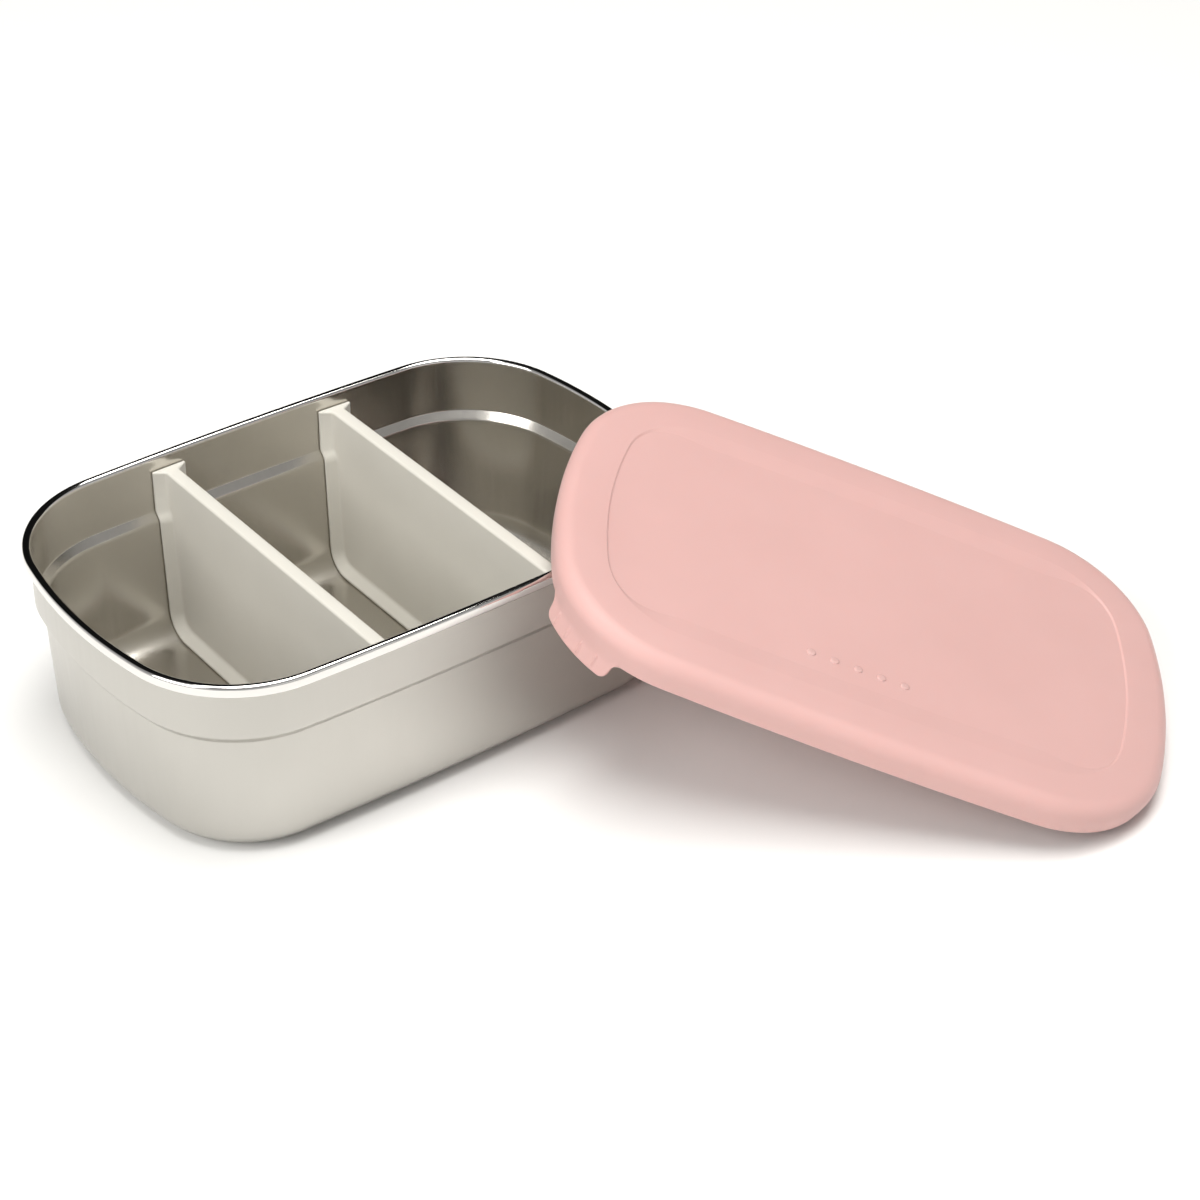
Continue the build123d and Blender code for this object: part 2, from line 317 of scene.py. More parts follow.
# ----------------------------------------------------------------------------------------- finishes
@dataclass(frozen=True)
class NodeBench:
    """Short ways of placing nodes in one material."""

    tree: bpy.types.NodeTree

    def add(self, kind: str, **settings: object) -> bpy.types.Node:
        """Adds a node; settings whose name is an input's are values, and the rest are properties.

        Args:
            kind: The node's type name.
            settings: Values and properties, with spaces in an input's name written as underscores.

        Returns:
            The node.
        """
        node = self.tree.nodes.new(kind)
        for name, value in settings.items():
            socket = node.inputs.get(name.replace("_", " "))
            if socket is not None:
                socket.default_value = value
            else:
                setattr(node, name, value)
        return node

    def link(self, start: bpy.types.NodeSocket, end: bpy.types.NodeSocket) -> None:
        """Joins two sockets."""
        self.tree.links.new(start, end)

    def stretched(self, scale: tuple[float, float, float]) -> bpy.types.NodeSocket:
        """Stretches object coordinates.

        Args:
            scale: The scale along each axis.

        Returns:
            The stretched coordinates.
        """
        source = self.add("ShaderNodeTexCoord")
        mapping = self.add("ShaderNodeMapping")
        mapping.inputs["Scale"].default_value = scale
        self.link(source.outputs["Object"], mapping.inputs["Vector"])
        return mapping.outputs["Vector"]

    def noise(self, scale: tuple[float, float, float], detail: float = 3.0) -> bpy.types.NodeSocket:
        """Noise from 0 to 1 over stretched object coordinates.

        Args:
            scale: Waves in a metre along each axis.
            detail: How many finer layers are added.

        Returns:
            The noise.
        """
        node = self.add("ShaderNodeTexNoise", Scale=1.0, Detail=detail, Roughness=NOISE_ROUGHNESS)
        self.link(self.stretched(scale), node.inputs["Vector"])
        return node.outputs["Fac"]

    def spread(self, source: bpy.types.NodeSocket, low: float, high: float) -> bpy.types.NodeSocket:
        """Maps the middle of a noise onto a range of values.

        Args:
            source: The noise.
            low: Value where the noise is low.
            high: Value where it is high.

        Returns:
            The mapped value.
        """
        node = self.add(
            "ShaderNodeMapRange", From_Min=NOISE_LOW, From_Max=NOISE_HIGH, To_Min=low, To_Max=high
        )
        self.link(source, node.inputs["Value"])
        return node.outputs["Result"]

    def tinted(
        self, source: bpy.types.NodeSocket, first: tuple[float, ...], second: tuple[float, ...]
    ) -> bpy.types.NodeSocket:
        """Mixes two colours by a noise.

        Args:
            source: The noise.
            first: Colour where the noise is low.
            second: Colour where it is high.

        Returns:
            The mixed colour.
        """
        node = self.add("ShaderNodeMix", data_type="RGBA")
        colours = [socket for socket in node.inputs if socket.type == "RGBA"]
        colours[0].default_value = (*first, 1)
        colours[1].default_value = (*second, 1)
        self.link(self.spread(source, 0.0, 1.0), node.inputs[0])
        return next(socket for socket in node.outputs if socket.type == "RGBA")

    def ramp(
        self, source: bpy.types.NodeSocket, stops: tuple[tuple[float, float], ...]
    ) -> bpy.types.NodeSocket:
        """Maps a value from 0 to 1 through stops of (place, grey level), as a colour socket.

        Args:
            source: The value.
            stops: The stops, in order of place.

        Returns:
            The colour.
        """
        node = self.add("ShaderNodeValToRGB")
        elements = node.color_ramp.elements
        for index, (place, level) in enumerate(stops):
            stop = elements[index] if index < 2 else elements.new(place)
            stop.position = place
            stop.color = (level, level, level, 1)
        self.link(source, node.inputs["Fac"])
        return node.outputs["Color"]

    def bump(
        self,
        source: bpy.types.NodeSocket,
        strength: float,
        depth: float,
        under: bpy.types.NodeSocket | None = None,
    ) -> bpy.types.NodeSocket:
        """Bump from a height socket, laid over an earlier bump.

        Args:
            source: The height, from 0 to 1.
            strength: Share of the bump that is used.
            depth: Height in metres.
            under: An earlier bump's normal.

        Returns:
            The bumped normal.
        """
        node = self.add("ShaderNodeBump", Strength=strength, Distance=depth)
        self.link(source, node.inputs["Height"])
        if under is not None:
            self.link(under, node.inputs["Normal"])
        return node.outputs["Normal"]


def new_material(name: str) -> tuple[bpy.types.Material, NodeBench, bpy.types.Node]:
    """Makes an empty node material.

    Args:
        name: The material's name.

    Returns:
        The material, its bench, and its shader.
    """
    material = bpy.data.materials.new(name)
    material.use_nodes = True
    bench = NodeBench(material.node_tree)
    shader = next(node for node in material.node_tree.nodes if node.type == "BSDF_PRINCIPLED")
    return material, bench, shader


@dataclass(frozen=True)
class SteelFinish:
    """Stainless steel: a pale metal whose gloss and grain come from how it was worked."""

    name: str
    tone: tuple[float, float, float]
    dull_tone: tuple[float, float, float]
    roughness: float
    roughness_swing: float
    grain: tuple[float, float, float]
    grain_depth: float
    grain_strength: float = 0.6
    cloud: tuple[float, float, float] = (22.0, 22.0, 14.0)

    def make(self) -> bpy.types.Material:
        """Builds the material: grain noise stretched along the working direction drives bump and gloss.

        Returns:
            The material.
        """
        material, bench, shader = new_material(self.name)
        shader.inputs["Metallic"].default_value = 1.0
        grain = bench.noise(self.grain, detail=4.0)
        cloud = bench.noise(self.cloud, detail=2.0)
        bench.link(bench.tinted(cloud, self.tone, self.dull_tone), shader.inputs["Base Color"])
        low, high = self.roughness - self.roughness_swing, self.roughness + self.roughness_swing
        bench.link(bench.spread(grain, low, high), shader.inputs["Roughness"])
        bench.link(bench.bump(grain, self.grain_strength, self.grain_depth), shader.inputs["Normal"])
        return material


@dataclass(frozen=True)
class SiliconeFinish:
    """Moulded food-grade silicone: matt, a little translucent, with a fine sparked mould texture."""

    name: str
    tone: tuple[float, float, float]
    second_tone: tuple[float, float, float]
    roughness: float
    sheen: float
    glow: float
    glow_reach: tuple[float, float, float]
    glow_scale: float = 0.003
    sheen_roughness: float = 0.45
    specular: float = 0.4
    roughness_swing: float = 0.05
    tone_scale: float = 35.0
    ripple_scale: float = 90.0
    ripple_strength: float = 0.25
    ripple_depth: float = 0.00012
    speck_scale: float = 2600.0
    speck_strength: float = 0.35
    speck_depth: float = 0.00003

    def make(self) -> bpy.types.Material:
        """Builds the material: fine speck bump over a slow ripple, and a faint change of tone.

        Returns:
            The material.
        """
        material, bench, shader = new_material(self.name)
        slow = bench.noise((self.tone_scale,) * 3, detail=2.0)
        speck = bench.noise((self.speck_scale,) * 3, detail=2.0)
        ripple = bench.noise((self.ripple_scale,) * 3, detail=1.0)
        bench.link(bench.tinted(slow, self.tone, self.second_tone), shader.inputs["Base Color"])
        low, high = self.roughness - self.roughness_swing, self.roughness + self.roughness_swing
        bench.link(bench.spread(speck, low, high), shader.inputs["Roughness"])
        under = bench.bump(ripple, self.ripple_strength, self.ripple_depth)
        over = bench.bump(speck, self.speck_strength, self.speck_depth, under)
        bench.link(over, shader.inputs["Normal"])
        shader.inputs["Subsurface Weight"].default_value = self.glow
        shader.inputs["Subsurface Radius"].default_value = self.glow_reach
        shader.inputs["Subsurface Scale"].default_value = self.glow_scale
        shader.inputs["Sheen Weight"].default_value = self.sheen
        shader.inputs["Sheen Roughness"].default_value = self.sheen_roughness
        shader.inputs["Specular IOR Level"].default_value = self.specular
        return material


SATIN_STEEL = SteelFinish(
    name="steel_satin",
    tone=(0.53, 0.515, 0.48),
    dull_tone=(0.505, 0.49, 0.455),
    roughness=0.31,
    roughness_swing=0.03,
    grain=(500.0, 500.0, 40.0),
    grain_depth=0.000005,
)
BRUSHED_STEEL = SteelFinish(
    name="steel_inside",
    tone=(0.64, 0.615, 0.57),
    dull_tone=(0.60, 0.575, 0.53),
    roughness=0.25,
    roughness_swing=0.02,
    grain=(600.0, 600.0, 16.0),
    grain_depth=0.0000009,
)
POLISHED_STEEL = SteelFinish(
    name="steel_polished",
    tone=(0.80, 0.785, 0.76),
    dull_tone=(0.78, 0.765, 0.74),
    roughness=0.07,
    roughness_swing=0.02,
    grain=(700.0, 700.0, 700.0),
    grain_depth=0.000001,
)
LID_SILICONE = SiliconeFinish(
    name="silicone_pink",
    tone=(0.655, 0.40, 0.374),
    second_tone=(0.635, 0.386, 0.36),
    roughness=0.56,
    sheen=0.12,
    glow=0.12,
    glow_reach=(1.0, 0.45, 0.35),
)
DIVIDER_SILICONE = SiliconeFinish(
    name="silicone_grey",
    tone=(0.655, 0.635, 0.575),
    second_tone=(0.63, 0.61, 0.55),
    roughness=0.60,
    sheen=0.06,
    glow=0.06,
    glow_reach=(1.0, 0.9, 0.8),
)


# ---------------------------------------------------------------------------------------------- tub
@dataclass
class Tub:
    """Deep-drawn steel tub: rolled rim, shoulder, drafted wall, rounded base and flat floor."""

    plan: Plan
    height: float
    sheet: float = 0.6
    curl_depth: float = 2.6
    curl_height: float = 4.0
    curl_slit: float = 0.3
    shoulder_drop: float = 18.4
    shoulder_fall: float = 2.6
    shoulder_jog: float = 2.2
    shoulder_blend: float = 1.6
    wall_draft: float = 1.2
    base_radius: float = 9.0
    floor_lap: float = 1.0
    floor_rings: tuple[float, ...] = (0.8, 0.5, 0.2, 0.0)
    bend_steps: int = 14
    longest_span: float = 2.5

    @property
    def wall_inset(self) -> float:
        """The outside of the upper wall."""
        return self.curl_depth - self.sheet

    @property
    def floor_inset(self) -> float:
        """Where the flat of the base begins."""
        return self.wall_inset + self.shoulder_jog + self.wall_draft + self.base_radius

    def layer(self, gap: np.ndarray, top: np.ndarray, end_inset: float, steps: int = 8) -> np.ndarray:
        """Lines a gap inside the outside of the wall, from a height down to the base and along it.

        The wall's four straight runs are moved in by the gap and crossed again, and the corners keep
        their arc centres, so an arc's radius grows or shrinks by the gap.

        Args:
            gap: Distances inwards, shape (k,).
            top: Height at which the lines start, one for all or one for each.
            end_inset: Inset at which they end, on the floor.
            steps: Spans in each arc.

        Returns:
            Points of (inset, height), shape (k, n, 2).
        """
        gap = np.atleast_1d(np.asarray(gap, float))
        shoulder_top = self.height - self.shoulder_drop
        shoulder_low = shoulder_top - self.shoulder_fall
        lean = self.wall_draft * shoulder_low / (shoulder_low - self.base_radius)
        knees = np.array([
            (self.wall_inset, self.height),
            (self.wall_inset, shoulder_top),
            (self.wall_inset + self.shoulder_jog, shoulder_low),
            (self.wall_inset + self.shoulder_jog + lean, 0.0),
            (end_inset, 0.0),
        ])
        runs = np.diff(knees, axis=0)
        inward = np.stack([-runs[:, 1], runs[:, 0]], axis=-1)
        inward /= np.linalg.norm(inward, axis=-1, keepdims=True)
        moved = knees[:-1] + gap[:, None, None] * inward
        corners = crossing(moved[:, :-1], runs[:-1], moved[:, 1:], runs[1:])
        first = np.stack([self.wall_inset + gap, np.broadcast_to(top, gap.shape)], axis=-1)
        last = np.stack([np.full_like(gap, end_inset), gap], axis=-1)
        line = np.concatenate([first[:, None], corners, last[:, None]], axis=1)
        radii = np.stack([
            np.maximum(self.shoulder_blend - gap, 0),
            self.shoulder_blend + gap,
            np.maximum(self.base_radius - gap, 0),
        ], axis=-1)
        return rounded(line, radii, steps)

    def bend(self, inset: float, height: float, radius: float, start: float, end: float) -> np.ndarray:
        """Arc in the section plane, from one angle to another in degrees, 0 being inwards and 90 up."""
        angle = np.radians(np.linspace(start, end, self.bend_steps + 1))
        return np.stack([inset + radius * np.cos(angle), height + radius * np.sin(angle)], axis=-1)

    def curl(self) -> tuple[np.ndarray, np.ndarray]:
        """Rolled rim: two half circles joined by straight runs, open by a slit beside the wall.

        Returns:
            The hidden face of the loop up to its free edge, and the face that shows.
        """
        middle = self.curl_depth / 2
        bore = middle - self.sheet
        low = self.height - self.curl_height + middle
        high = self.height - middle
        free = middle - (self.wall_inset - self.curl_slit)
        bore_end = -180 + math.degrees(math.acos(free / bore)) if abs(free) < bore else -90.0
        face_end = -180 + math.degrees(math.acos(free / middle))
        hidden = np.concatenate([
            self.bend(middle, high, bore, 0, 180), self.bend(middle, low, bore, -180, bore_end)
        ])
        shown = np.concatenate([
            self.bend(middle, low, middle, face_end, -180), self.bend(middle, high, middle, 180, 0)
        ])
        return hidden, shown

    def section(self) -> tuple[np.ndarray, np.ndarray]:
        """The sheet's closed section, outside first, and the finish of each span.

        Returns:
            Points of (inset, height), and a material index for each span.
        """
        outside, inside = self.layer(
            np.array([0.0, self.sheet]),
            self.height - self.curl_height / 2,
            self.floor_inset + self.floor_lap,
        )
        hidden, shown = self.curl()
        parts = [
            (refined(outside[::-1], self.longest_span), 0),
            (hidden, 1),
            (shown, 1),
            (refined(inside, self.longest_span), 2),
        ]
        line = np.concatenate([part for part, _ in parts])
        worn = np.concatenate([np.full(len(part), index) for part, index in parts])
        return line, worn[1:]

    def build(self, finishes: list[bpy.types.Material]) -> bpy.types.Object:
        """Carries the section round the outline and closes base and floor with shrinking rings.

        Args:
            finishes: Outside, rim and inside.

        Returns:
            The tub.
        """
        turns = self.plan.turns()[:, None]
        line, worn = self.section()
        grid = np.empty((len(turns), len(line), 3))
        grid[..., :2] = self.plan.place(turns, line[:, 0])
        grid[..., 2] = line[:, 1]
        skin = Skin(Body.TUB.value + "_shell")
        skin.add(grid, wrap=True, dressing=worn)
        rings = np.array((1.0, *self.floor_rings))[:, None]
        for column, index in ((0, 0), (-1, 2)):
            disc = grid[:, column][:, None] * np.concatenate([rings, rings, np.ones_like(rings)], axis=1)
            skin.add(disc, wrap=True, dressing=index)
        return skin.build(finishes)


# ----------------------------------------------------------------------------------------- dividers
@dataclass
class Divider:
    """Soft divider: a web whose foot tapers away on both sides and follows both walls and the floor."""

    tub: Tub
    middle_x: float
    body: Body
    drop: float = 4.6
    web_thickness: float = 4.4
    flange_width: float = 11.0
    flange_root: float = 2.8
    flange_tip: float = 0.9
    gap: float = 0.25
    root_fillet: float = 1.3
    fillet_room: float = 1.5
    tip_round: float = 0.35
    web_top_round: float = 0.8
    tip_top_round: float = 0.35
    round_steps: int = 6

    def foot_section(self) -> tuple[np.ndarray, np.ndarray]:
        """Half-open T section, from one face of the web round the foot to the other face.

        Returns:
            Points of (x, depth from the steel), and their outward normals.
        """
        web, foot = self.web_thickness / 2, self.flange_width / 2
        above = self.flange_root + self.fillet_room * self.root_fillet
        side = [(web, above), (web, self.flange_root), (foot, self.flange_tip), (foot, 0.0)]
        corners = np.array(side + [(-x, depth) for x, depth in side[::-1]])
        radii = np.array([self.root_fillet, *[self.tip_round] * 4, self.root_fillet])
        line = rounded(corners, radii, self.round_steps)
        run = np.gradient(line, axis=0)
        run /= np.linalg.norm(run, axis=1, keepdims=True)
        return line, np.stack([-run[:, 1], run[:, 0]], axis=-1)

    def wall_y(self, x: np.ndarray, inset: np.ndarray) -> np.ndarray:
        """Distance from the middle line to the side arc: sqrt(radius squared - x squared) past its centre.

        Args:
            x: Places along the tub, from the divider's middle.
            inset: Distances inside the outer line.

        Returns:
            The distances.
        """
        plan = self.tub.plan
        reach = np.sqrt((plan.side_radius - inset) ** 2 - (x + self.middle_x) ** 2)
        return np.maximum(plan.side_y + reach, 0.0)

    def foot_grid(self) -> np.ndarray:
        """Foot carried from the top of one wall down to the middle of the floor.

        Its first rows round the top edge over: at an angle t the outline has moved in by
        radius * (1 - cos t) and stands radius * (1 - sin t) under the top.

        Returns:
            Points, shape (stations, section, 3), with y negative.
        """
        line, outward = self.foot_section()
        spread = np.array([self.web_thickness / 2, self.flange_width / 2])
        radius = np.interp(np.abs(line[:, 0]), spread, [self.web_top_round, self.tip_top_round])
        angle = np.linspace(math.pi / 2, 0, self.round_steps + 1)[:-1, None]
        moved = line - outward * (radius * (1 - np.cos(angle)))[..., None]
        start = self.tub.sheet + self.gap
        top = self.tub.height - self.drop
        edge_x = moved[..., 0]
        edge_inset = self.tub.wall_inset + start + moved[..., 1]
        edge_z = top - radius * (1 - np.sin(angle))
        below = self.tub.layer(start + line[:, 1], top - radius, self.tub.plan.rim_width / 2)
        x = np.vstack([edge_x, np.broadcast_to(line[:, 0], (below.shape[1], len(line)))])
        inset = np.vstack([edge_inset, below[..., 0].T])
        z = np.vstack([edge_z, below[..., 1].T])
        y = -self.wall_y(x, inset)
        y[-1] = 0.0
        return np.stack([x, y, z], axis=-1)

    def build(self, finish: bpy.types.Material) -> bpy.types.Object:
        """Joins the foot to two flat web faces and a top strip, whose edges are rounded alike.

        Args:
            finish: The silicone.

        Returns:
            The divider.
        """
        near = self.foot_grid()
        far = near * np.array([1, -1, 1])
        foot = np.concatenate([near, far[::-1][1:]])
        foot[..., 0] += self.middle_x
        skin = Skin(self.body.value + "_moulding")
        skin.add(foot)
        wall_rows = near.shape[0] - 1
        share = np.array([0.0, 0.5, 1.0])[None, :, None]
        for column in (0, -1):
            start = foot[:wall_rows, column][:, None]
            end = foot[::-1][:wall_rows, column][:, None]
            skin.add(start * (1 - share) + end * share)
        head = foot[0]
        half = len(head) // 2
        top = np.stack([head[:half], head[::-1][:half]], axis=1)
        skin.add(top)
        skin.add(top * np.array([1, -1, 1]))
        strip = np.stack([top[0], top[0] * np.array([1, 0, 1]), top[0] * np.array([1, -1, 1])])
        skin.add(strip)
        return skin.build([finish], crease=55.0)


# ---------------------------------------------------------------------------------------------- lid
@dataclass(frozen=True)
class Pose:
    """Where a piece lies: its own axes as the columns of a turn, and its own origin."""

    turn: np.ndarray
    origin: np.ndarray

    @classmethod
    def of_plate(cls, node: bpy.types.Object) -> "Pose":
        """Finds how a plate-like node lies from its largest flat face.

        The normal is that of the triangles facing up most strongly together. The long axis is the
        direction of the face's largest second moment of area, each triangle adding
        area / 12 * (sum of its corners' squares + 9 * its centre's square).

        Args:
            node: The CAD node.

        Returns:
            The pose, its origin in millimetres on the highest flat of the plate.
        """
        mesh = node.data
        mesh.calc_loop_triangles()
        points = np.empty(len(mesh.vertices) * 3)
        mesh.vertices.foreach_get("co", points)
        points = points.reshape(-1, 3) / MM
        corners = np.empty(len(mesh.loop_triangles) * 3, np.int32)
        mesh.loop_triangles.foreach_get("vertices", corners)
        triangles = points[corners.reshape(-1, 3)]
        cross = np.cross(triangles[:, 1] - triangles[:, 0], triangles[:, 2] - triangles[:, 0])
        area = np.linalg.norm(cross, axis=1) / 2
        facing = cross / np.maximum(2 * area, TINY_AREA)[:, None]
        normal = facing[np.argmax(area)]
        normal = normal * np.sign(normal[2])
        flat = (facing @ normal) > 1 - HAIR
        centre = triangles.mean(axis=1)
        middle = (centre[flat] * area[flat, None]).sum(0) / area[flat].sum()
        about = triangles[flat] - middle
        own = about.mean(axis=1)
        moment = np.einsum("t,tci,tcj->ij", area[flat], about, about)
        moment += 9 * np.einsum("t,ti,tj->ij", area[flat], own, own)
        _, axes = np.linalg.eigh(moment)
        long_axis = axes[:, -1] * np.sign(axes[0, -1])
        turn = np.stack([long_axis, np.cross(normal, long_axis), normal], axis=-1)
        local = points @ turn
        low, high = local.min(0), local.max(0)
        top = np.max(centre[flat] @ normal)
        return cls(turn, turn @ np.array([(low[0] + high[0]) / 2, (low[1] + high[1]) / 2, top]))

    def place(self, points: np.ndarray) -> np.ndarray:
        """Own points to the frame's."""
        return points @ self.turn.T + self.origin


@dataclass
class Lid:
    """One-piece soft lid: rounded edge, skirt with a gripping lip, sealing rib, sunken panel, pull tab."""

    plan: Plan
    curl_depth: float
    curl_height: float
    wall_inset: float
    pose: Pose
    top: float = 2.6
    margin: float = 2.4
    skirt_depth: float = 10.2
    skirt_taper: float = 1.6
    edge_radius: float = 4.6
    skirt_edge_round: float = 0.9
    skirt_edge_cut: float = 0.7
    bead_gap: float = 0.2
    lip_gap: float = 0.3
    groove_blend: float = 0.5
    rib_thickness: float = 1.8
    rib_depth: float = 4.0
    rib_gap: float = 0.4
    panel_inset: float = 12.2
    panel_sink: float = 0.4
    panel_step: float = 0.5
    panel_fade: float = 7.0
    panel_lap: float = 3.0
    panel_side_power: int = 6
    panel_end_round: float = 0.4
    panel_side_round: float = 6.0
    tab_turn: float = math.radians(225.0)
    tab_width: float = 28.0
    tab_reach: float = 5.8
    tab_thickness: float = 2.0
    tab_droop: float = math.radians(80.0)
    tab_side_lean: float = 1.0
    tab_corner_round: float = 2.4
    tab_root_round: float = 2.2
    tab_tip_round: float = 0.7
    tab_bend_round: float = 8.0
    tab_bend_rise: float = 2.6
    tab_inner_round: float = 0.25
    tab_full_share: float = 0.4
    tab_step: float = 0.3
    tab_run_out: float = 1.0
    tab_clearance: float = 0.005
    grip_count: int = 4
    grip_height: float = 0.5
    grip_width: float = 1.0
    grip_start: float = 0.6
    grip_end: float = 4.6
    grip_fade: float = 0.4
    grip_side_fade: float = 0.3
    grip_slope: float = 1.5
    dot_count: int = 5
    dot_radius: float = 1.5
    dot_pitch: float = 7.0
    dot_height: float = 0.4
    dot_inset: float = 26.0
    dot_centre_x: float = -2.7
    dot_back: float = 0.5
    dot_power: int = 6
    dot_rings: int = 9
    dot_turns: int = 33
    arc_steps: int = 7
    outline_steps: int = 9
    tongue_steps: int = 14
    inner_rings: tuple[float, ...] = (0.75, 0.45, 0.15, 0.0)

    @property
    def edge_circle(self) -> float:
        """Radius of the skirt's lower edge round the lid's corner."""
        return self.plan.corner_radius + self.margin - self.skirt_taper

    def tab_outline(self) -> tuple[np.ndarray, np.ndarray]:
        """Outline of the pull tab, and the point of the skirt's edge that each of its points springs from.

        The outline is a rounded trapezium with fillets at its root. Its points are shared out along
        the skirt's edge in proportion to the length of outline between them, so the tongue fans out.

        Returns:
            Outline points of (distance along the edge, reach), and distances along the edge.
        """
        half, lean = self.tab_width / 2, self.tab_side_lean
        end = half + self.tab_root_round + self.tab_run_out
        corners = np.array([
            (-end, 0), (-half, 0), (-half + lean, self.tab_reach),
            (half - lean, self.tab_reach), (half, 0), (end, 0),
        ])
        radii = np.array([self.tab_root_round, self.tab_corner_round] * 2)
        radii[2:] = radii[1::-1]
        line = refined(rounded(corners, radii, self.outline_steps), self.tab_step)
        along = np.concatenate([[0.0], np.cumsum(np.linalg.norm(np.diff(line, axis=0), axis=1))])
        base = np.interp(along, [0.0, along[-1]], [corners[0, 0], corners[-1, 0]])
        return line, base

    def stations(self) -> tuple[np.ndarray, np.ndarray, np.ndarray]:
        """Stations round the lid, closer together at the tab.

        Returns:
            Facing angles, how far each station's tip slides along the edge, and its reach.
        """
        outline, base = self.tab_outline()
        window = self.tab_turn + base / self.edge_circle
        plain = self.plan.turns()
        first, last = window[0] - self.tab_clearance, window[-1] + self.tab_clearance
        plain = plain[(plain < first) | (plain > last)]
        turns = np.concatenate([plain, window])
        slide = np.concatenate([np.zeros_like(plain), outline[:, 0] - base])
        reach = np.concatenate([np.zeros_like(plain), outline[:, 1]])
        order = np.argsort(turns)
        return turns[order], slide[order], reach[order]

    def corners(self, turns: np.ndarray, reach: np.ndarray) -> tuple[np.ndarray, np.ndarray]:
        """Corners of the lid's section at each station.

        The panel's step is sharp at the ends and fades along the sides. The skirt's lower edge is
        drawn out by the reach along the tab's droop, and its thickness grows with the reach.

        Args:
            turns: Facing angles.
            reach: Reach of the tab at each.

        Returns:
            Corners of (inset, height), shape (stations, n, 2), and radii, shape (stations, n - 2).
        """
        lip = self.wall_inset - self.lip_gap
        rib_outer = self.curl_depth + self.rib_gap
        rib_inner = rib_outer + self.rib_thickness
        groove = self.top + self.curl_height + self.bead_gap
        lap = self.panel_inset + self.panel_fade + self.panel_lap
        side = np.abs(np.sin(turns)) ** self.panel_side_power
        step = self.panel_step + (self.panel_fade - self.panel_step) * side
        step_round = self.panel_end_round + self.panel_side_round * side
        out, down = math.cos(self.tab_droop), math.sin(self.tab_droop)
        full = np.clip(reach / (self.tab_full_share * self.tab_reach), 0, 1)
        full = full * full * (3 - 2 * full)
        bare = 1 - full
        edge = self.skirt_edge_round
        cut = self.skirt_edge_cut * edge * bare
        rim = -self.margin + self.skirt_taper
        tip = (rim - reach * out, -self.skirt_depth + cut - reach * down)
        thick = self.tab_thickness * full
        low_tip = (tip[0] + thick * down + cut, tip[1] - thick * out - cut)
        tip_round = edge * bare + self.tab_tip_round * full
        rise = self.tab_bend_rise * bare
        bend = (rim - self.skirt_taper * rise / self.skirt_depth, -self.skirt_depth + rise)
        inner = rim + (lip - edge - rim) * bare + thick / down
        lip_round = self.tab_inner_round + (edge - self.tab_inner_round) * bare**2
        rows = [
            ((lap, -self.panel_sink), 0),
            ((self.panel_inset + step, -self.panel_sink), step_round),
            ((self.panel_inset, 0), step_round),
            ((-self.margin, 0), self.edge_radius),
            (bend, self.tab_bend_round),
            (tip, tip_round),
            (low_tip, tip_round),
            ((inner, -self.skirt_depth), self.tab_inner_round),
            ((lip, -self.skirt_depth), lip_round),
            ((lip, -groove), self.groove_blend),
            ((-self.bead_gap, -groove), self.groove_blend),
            ((-self.bead_gap, -self.top), self.groove_blend),
            ((rib_outer, -self.top), self.groove_blend),
            ((rib_outer, -self.top - self.rib_depth), self.groove_blend),
            ((rib_inner, -self.top - self.rib_depth), self.groove_blend),
            ((rib_inner, -self.top), self.groove_blend),
            ((lap, -self.top), 0),
        ]
        blank = np.zeros_like(turns)
        points = np.stack([np.stack([blank + x, blank + z], axis=-1) for (x, z), _ in rows], axis=1)
        radii = np.stack([blank + radius for _, radius in rows[1:-1]], axis=1)
        return points, radii

    def surface(self) -> np.ndarray:
        """The lid's edge, skirt and underside carried once round, in its own frame.

        The tongue's points slide along the edge by the station's slide times their share of the
        reach, and the grip ribs lift its upper face by rounded steps.

        Returns:
            Points, shape (stations, section, 3).
        """
        turns, slide, reach = self.stations()
        points, radii = self.corners(turns, reach)
        steps = self.arc_steps
        line = rounded(points, radii, steps)
        bend_end, tip_start = 1 + 3 * (steps + 1) + steps, 1 + 4 * (steps + 1)
        share = np.linspace(0, 1, self.tongue_steps + 1)[1:-1][None, :, None]
        tongue = line[:, bend_end][:, None] * (1 - share) + line[:, tip_start][:, None] * share
        line = np.concatenate([line[:, : bend_end + 1], tongue, line[:, tip_start:]], axis=1)
        rim = -self.margin + self.skirt_taper
        out, down = math.cos(self.tab_droop), math.sin(self.tab_droop)
        travel = (rim - line[..., 0]) * out - (self.skirt_depth + line[..., 1]) * down
        progress = np.clip(travel / np.maximum(reach, HAIR)[:, None], 0, 1)
        drift = slide[:, None] * progress
        along = (turns[:, None] - self.tab_turn) * self.edge_circle + drift
        pitch = self.tab_width / (self.grip_count + 1)
        nearest = np.abs((along / pitch + self.grip_count / 2 - 0.5) % 1.0 - 0.5)
        offset = (0.5 - nearest) * pitch
        grip = np.clip(self.grip_slope * (1 - offset / (self.grip_width / 2)), 0, 1)
        inside = np.clip((self.tab_width / 2 - pitch / 2 - np.abs(along)) / self.grip_side_fade, 0, 1)
        begun = np.clip((travel - self.grip_start) / self.grip_fade, 0, 1)
        left = np.clip((self.grip_end - travel) / self.grip_fade, 0, 1)
        upper = np.zeros(line.shape[1])
        upper[bend_end - steps : bend_end + self.tongue_steps + 2] = 1.0
        lift = self.grip_height * grip * inside * begun * left * upper
        line = line + lift[..., None] * np.array([-down, out])
        grid = np.empty((*line.shape[:2], 3))
        grid[..., :2] = self.plan.place(turns[:, None] + drift / self.edge_circle, line[..., 0])
        grid[..., 2] = line[..., 1]
        return grid

